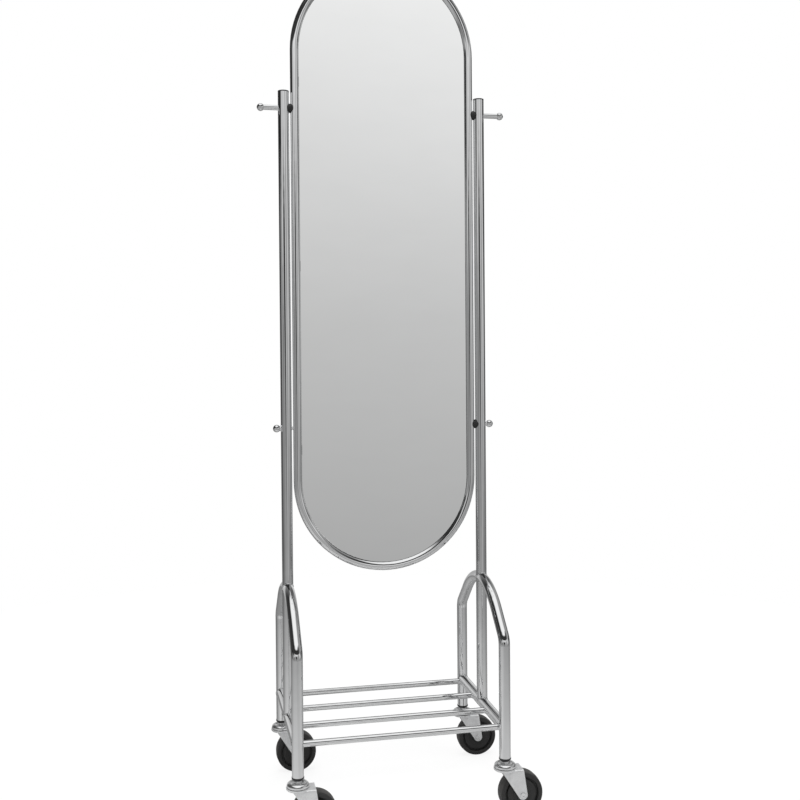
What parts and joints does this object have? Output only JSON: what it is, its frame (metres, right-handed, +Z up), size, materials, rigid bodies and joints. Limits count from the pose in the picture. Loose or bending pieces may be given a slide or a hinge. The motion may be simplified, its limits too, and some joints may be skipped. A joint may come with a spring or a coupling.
{
  "type": "rolling floor mirror",
  "caption": "Full-length stadium mirror in a chromed tube ring, held between posts on a wheeled base with a low rod shelf.",
  "frame": {"origin": "on the floor, midway between the two posts and midway between the front and rear legs", "axes": "+X to the right across the glass, +Y from the glass towards its back, +Z up"},
  "size_m": [0.525, 0.355, 1.6799],
  "materials": {
    "chrome_tube": "polished chrome plate",
    "mirror_glass": "silvered float glass, polished",
    "foam_tape": "double-sided foam tape",
    "backing_board": "grey coated sheet",
    "zinc_steel": "bright zinc plate, satin",
    "bright_steel": "ground steel",
    "black_plastic": "moulded, satin",
    "black_rubber": "moulded rubber, matt",
    "wheel_plastic": "moulded nylon, satin",
    "wheel_tyre": "solid rubber, satin"
  },
  "bodies": {
    "frame": {"post_end_plugs": "black_plastic", "mirror_ring": "chrome_tube", "mirror_glass": "mirror_glass", "bond_tapes": "foam_tape", "backing_panel": "backing_board", "backing_tabs": "chrome_tube", "panel_screws": "zinc_steel", "ring_bosses": "zinc_steel", "mirror_spacers": "black_rubber", "peg_washers": "chrome_tube", "leg_sockets": "black_plastic", "caster_stems": "zinc_steel", "raceway_caps": "zinc_steel", "front_shelf_rod": "chrome_tube", "front_middle_shelf_rod": "chrome_tube", "rear_middle_shelf_rod": "chrome_tube", "rear_shelf_rod": "chrome_tube", "left_side_loop": "chrome_tube", "left_upper_post": "chrome_tube", "left_inner_post": "chrome_tube", "left_bottom_rail": "chrome_tube", "left_hook_peg": "chrome_tube", "left_ball_screw": "chrome_tube", "right_side_loop": "chrome_tube", "right_upper_post": "chrome_tube", "right_inner_post": "chrome_tube", "right_bottom_rail": "chrome_tube", "right_hook_peg": "chrome_tube", "right_ball_screw": "chrome_tube", "front_left_bearing_balls": "bright_steel", "front_right_bearing_balls": "bright_steel", "rear_left_bearing_balls": "bright_steel", "rear_right_bearing_balls": "bright_steel"},
    "front_left_swivel": {"front_left_fork": "zinc_steel", "front_left_axle_bolt": "zinc_steel", "front_left_axle_nut": "zinc_steel", "front_left_axle_bush": "bright_steel"},
    "front_left_wheel": {"front_left_wheel_core": "wheel_plastic", "front_left_tyre": "wheel_tyre"},
    "front_right_swivel": {"front_right_fork": "zinc_steel", "front_right_axle_bolt": "zinc_steel", "front_right_axle_nut": "zinc_steel", "front_right_axle_bush": "bright_steel"},
    "front_right_wheel": {"front_right_wheel_core": "wheel_plastic", "front_right_tyre": "wheel_tyre"},
    "rear_left_swivel": {"rear_left_fork": "zinc_steel", "rear_left_axle_bolt": "zinc_steel", "rear_left_axle_nut": "zinc_steel", "rear_left_axle_bush": "bright_steel"},
    "rear_left_wheel": {"rear_left_wheel_core": "wheel_plastic", "rear_left_tyre": "wheel_tyre"},
    "rear_right_swivel": {"rear_right_fork": "zinc_steel", "rear_right_axle_bolt": "zinc_steel", "rear_right_axle_nut": "zinc_steel", "rear_right_axle_bush": "bright_steel"},
    "rear_right_wheel": {"rear_right_wheel_core": "wheel_plastic", "rear_right_tyre": "wheel_tyre"}
  },
  "joints": [
    {"name": "front_left_swivel_turn", "type": "hinge", "parent": "frame", "child": "front_left_swivel", "pos_m": [-0.2, -0.15299, 0.091], "axis": [0, 0, 1], "continuous": true},
    {"name": "front_left_wheel_roll", "type": "hinge", "parent": "front_left_swivel", "child": "front_left_wheel", "pos_m": [-0.17, -0.15299, 0.0425], "axis": [0, 1, 0], "continuous": true},
    {"name": "front_right_swivel_turn", "type": "hinge", "parent": "frame", "child": "front_right_swivel", "pos_m": [0.2, -0.15299, 0.091], "axis": [0, 0, 1], "continuous": true},
    {"name": "front_right_wheel_roll", "type": "hinge", "parent": "front_right_swivel", "child": "front_right_wheel", "pos_m": [0.23, -0.15299, 0.0425], "axis": [0, 1, 0], "continuous": true},
    {"name": "rear_left_swivel_turn", "type": "hinge", "parent": "frame", "child": "rear_left_swivel", "pos_m": [-0.2, 0.15299, 0.091], "axis": [0, 0, 1], "continuous": true},
    {"name": "rear_left_wheel_roll", "type": "hinge", "parent": "rear_left_swivel", "child": "rear_left_wheel", "pos_m": [-0.17, 0.15299, 0.0425], "axis": [0, 1, 0], "continuous": true},
    {"name": "rear_right_swivel_turn", "type": "hinge", "parent": "frame", "child": "rear_right_swivel", "pos_m": [0.2, 0.15299, 0.091], "axis": [0, 0, 1], "continuous": true},
    {"name": "rear_right_wheel_roll", "type": "hinge", "parent": "rear_right_swivel", "child": "rear_right_wheel", "pos_m": [0.23, 0.15299, 0.0425], "axis": [0, 1, 0], "continuous": true}
  ]
}
